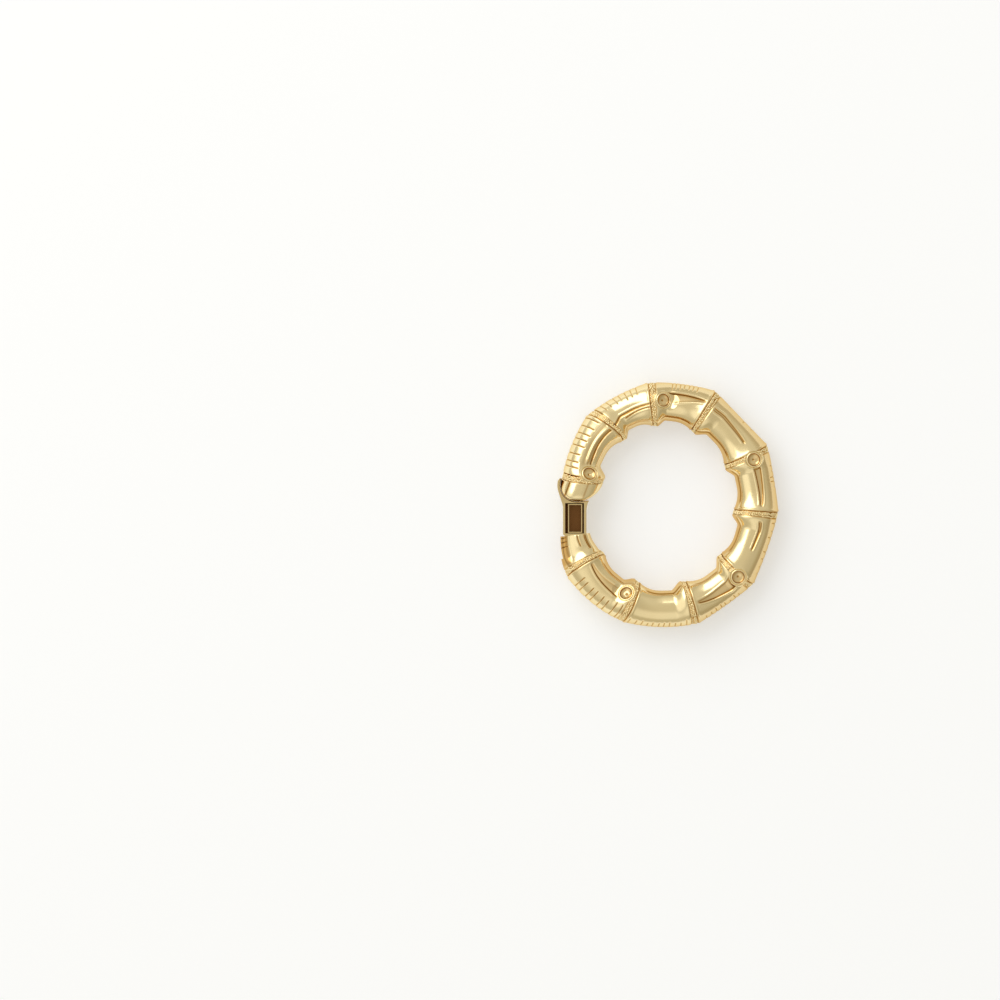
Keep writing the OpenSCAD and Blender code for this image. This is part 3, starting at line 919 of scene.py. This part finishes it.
# The pocket's inside is painted dark brown as shade
paint_shade_inside(bar, POCKET_L - CHAMFER[0], POCKET_R + CHAMFER[1], POCKET_BOTTOM - CHAMFER[2] - SLIGHT,
            POCKET_TOP + CHAMFER[3], POCKET_FLOOR - SLIGHT, CLIP_HIGH - SLIGHT)
sharpen(bar, CLIP_CORNER)
bevelled(bar, BAR_BEVEL, 3)

# The spring's box: a polished rim round an inside painted dark brown as shade
box = box_solid(BOX_L, BOX_R, BOX_BOTTOM, BOX_TOP, POCKET_FLOOR + SEAT, BOX_HIGH)
tray = new_object("spring_box_tray", box, shaded_clip_gold, "clip", "spring_box")
cut_away(tray, [
    box_solid(BOX_L + BOX_RIM, BOX_R - BOX_RIM, BOX_BOTTOM + BOX_RIM, BOX_TOP - BOX_RIM,
              POCKET_FLOOR + BOX_FLOOR, BOX_HIGH + PAST),
])
paint_shade_inside(tray, BOX_L + BOX_RIM / 2, BOX_R - BOX_RIM / 2, BOX_BOTTOM + BOX_RIM / 2, BOX_TOP - BOX_RIM / 2,
            POCKET_FLOOR + BOX_FLOOR / 2, BOX_HIGH - SLIGHT)
sharpen(tray, CLIP_CORNER)
bevelled(tray, BOX_BEVEL, 2)

for material_slot in bpy.data.objects["hinge_pin"].material_slots:
    material_slot.material = pin_gold

# The slot and the pin's bore in the lower end
room_plan = ([around(a, SWING_R) for a in np.linspace(ROOM_FROM, ROOM_TO, ROOM_POINTS)]
             + [around(a, HEEL_R) for a in np.linspace(ROOM_TO, HEEL_TO, HEEL_POINTS)]
             + [around(a, KNUCKLE_R + PLAY) for a in np.linspace(HEEL_TO, ROOM_FROM + 360, ROOM_POINTS)])
lower_end = segments[LAST]
cut_away(lower_end, [
    prism(room_plan, CLIP_LOW - PLAY, CLIP_HIGH + PLAY),
    prism(disc_plan(PIN_R + BORE_PLAY), -PAST, BORE_TOP),
])
sharpen(lower_end, HOOP_CORNER)

# Studio, in metres: a matt white acrylic sheet as the table, lit from within a little so that
# it shows white, a softly lit room with large panels of light, and one soft box
TABLE_HALF = 0.6
floor_material, tree = new_material("white_acrylic_table")
shader = add_node(tree, "ShaderNodeBsdfPrincipled",
                  {"Base Color": linear("#d9dde3"), "Roughness": 0.6,
                   "Emission Color": linear("#ffffff"), "Emission Strength": 0.36})
add_node(tree, "ShaderNodeOutputMaterial", None, {"Surface": (shader, "BSDF")})
bm = bmesh.new()
bmesh.ops.create_grid(bm, x_segments=2, y_segments=2, size=TABLE_HALF)
table_mesh = bpy.data.meshes.new("table")
bm.to_mesh(table_mesh)
bm.free()
table_mesh.materials.append(floor_material)
table = bpy.data.objects.new("table", table_mesh)
bpy.context.scene.collection.objects.link(table)

# The room's tone from straight below to straight above
ROOM_TONES = [
    (0.0, "#d0ccc2"), (0.2, "#c4beaf"), (0.42, "#c9c3b4"),
    (0.6, "#d4cfc3"), (0.85, "#d6d1c6"), (1.0, "#d3cdbf"),
]
# The panels: the direction to each, where its edge starts and is full, and how much brighter it is
PANELS = [
    ((-0.50, 0.66, 0.56), 0.72, 0.97, 0.28),
    ((-0.72, -0.05, 0.70), 0.88, 0.98, 0.36),
    ((0.02, -0.60, 0.80), 0.86, 0.98, 0.22),
    ((0.70, -0.45, 0.50), 0.50, 0.95, -0.12),
]
world = bpy.data.worlds.new("studio")
world.use_nodes = True
tree = world.node_tree
tree.nodes.clear()
place = add_node(tree, "ShaderNodeTexCoord")
split = add_node(tree, "ShaderNodeSeparateXYZ", None, {0: (place, "Generated")})
room = add_node(tree, "ShaderNodeValToRGB", None, {0: (split, "Z")})
for position, tone in ROOM_TONES[1:-1]:
    room.color_ramp.elements.new(position)
for element, (position, tone) in zip(room.color_ramp.elements, ROOM_TONES):
    element.position = position
    element.color = linear(tone)
total = (room, "Color")
for direction, edge_from, edge_to, more in PANELS:
    towards = add_node(tree, "ShaderNodeVectorMath",
                       {"operation": "DOT_PRODUCT", 1: Vector(direction).normalized()},
                       {0: (place, "Generated")})
    glow = add_node(tree, "ShaderNodeMapRange",
                    {"interpolation_type": "SMOOTHSTEP", "From Min": edge_from, "From Max": edge_to,
                     "To Min": 0.0, "To Max": more}, {"Value": (towards, "Value")})
    added = add_node(tree, "ShaderNodeVectorMath", {"operation": "ADD"}, {0: total, 1: (glow, "Result")})
    total = (added, "Vector")
background = add_node(tree, "ShaderNodeBackground", {"Strength": 1.0}, {"Color": total})
add_node(tree, "ShaderNodeOutputWorld", None, {"Surface": (background, "Background")})
bpy.context.scene.world = world
bpy.context.scene.view_settings.view_transform = "Standard"

SOFT_BOX_PLACE = (-0.35, 0.42, 0.50)
SOFT_BOX_WIDTH = 0.6
SOFT_BOX_WATTS = 1.5
light = bpy.data.lights.new("key_light", "AREA")
light.shape = "RECTANGLE"
light.size = light.size_y = SOFT_BOX_WIDTH
light.energy = SOFT_BOX_WATTS
soft_box = bpy.data.objects.new("key_light", light)
soft_box.location = SOFT_BOX_PLACE
soft_box.rotation_euler = (-Vector(SOFT_BOX_PLACE)).to_track_quat("-Z", "Y").to_euler()
bpy.context.scene.collection.objects.link(soft_box)

# Camera: straight above the table through a long lens, on the photograph's own axis.
# The hoop's middle is given in the photograph's pixels, whose size is in millimetres.
PHOTO_WIDTH = 143.4
HOOP_X, HOOP_Y = 669.0, 504.5
PIXEL = PHOTO_WIDTH / 1000
CAMERA_HEIGHT = 1.2
SENSOR = 36.0
camera_data = bpy.data.cameras.new("camera")
camera_data.sensor_width = SENSOR
camera_data.lens = SENSOR * (CAMERA_HEIGHT - MID_Z * MM) / (PHOTO_WIDTH * MM)
camera_data.clip_start, camera_data.clip_end = 0.1, 10.0
camera = bpy.data.objects.new("camera", camera_data)
camera.location = (((500 - HOOP_X) * PIXEL + SHIFT_X) * MM, (HOOP_Y - 500) * PIXEL * MM, CAMERA_HEIGHT)
bpy.context.scene.collection.objects.link(camera)
bpy.context.scene.camera = camera
